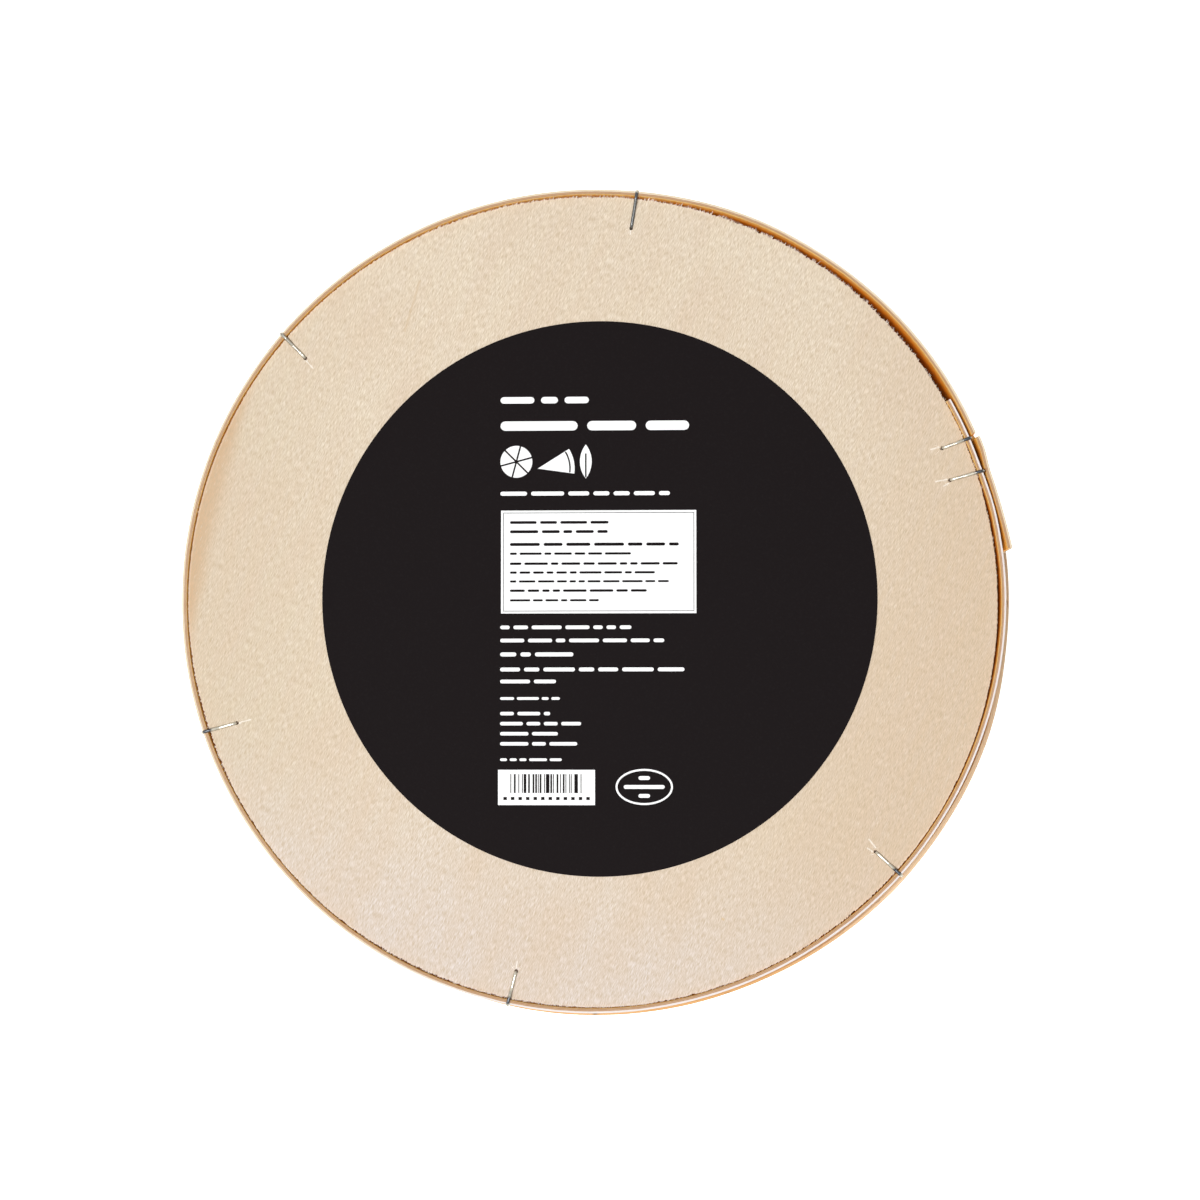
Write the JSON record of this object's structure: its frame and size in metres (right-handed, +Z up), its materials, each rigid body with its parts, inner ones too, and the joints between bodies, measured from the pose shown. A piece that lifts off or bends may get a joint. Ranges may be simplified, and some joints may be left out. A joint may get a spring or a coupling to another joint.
{
  "type": "brie wheel in a round wooden box",
  "caption": "Shut round box of bent poplar veneer that holds a soft cheese wheel: a stapled board and hoop sit in a shallow lid, with a round black paper label on the board.",
  "frame": {"origin": "centre of the box's footprint, on the plane that it rests on", "axes": "+Z up along the hoops' axis, through the label; +Y towards the top of the label's layout; +X to the right of it"},
  "size_m": [0.218, 0.2191, 0.0409],
  "materials": {
    "board_wood": "unsealed pale poplar, fine straight grain, matte",
    "hoop_wood": "bent poplar veneer, tan inner ply and pale outer ply at the edge, matte",
    "label_paper": "smooth printed paper, near black, matte",
    "zinc_wire": "bright zinc-coated steel wire"
  },
  "bodies": {
    "root": {"tray_board": "board_wood", "lid_board": "board_wood", "tray_hoop": "hoop_wood", "lid_hoop": "hoop_wood", "label": "label_paper", "tray_staple_1": "zinc_wire", "tray_staple_2": "zinc_wire", "tray_staple_3": "zinc_wire", "tray_staple_4": "zinc_wire", "tray_staple_5": "zinc_wire", "tray_staple_6": "zinc_wire", "tray_staple_7": "zinc_wire", "lid_staple_1": "zinc_wire", "lid_staple_2": "zinc_wire", "lid_staple_3": "zinc_wire", "lid_staple_4": "zinc_wire", "lid_staple_5": "zinc_wire", "lid_staple_6": "zinc_wire", "lid_staple_7": "zinc_wire"}
  },
  "joints": []
}
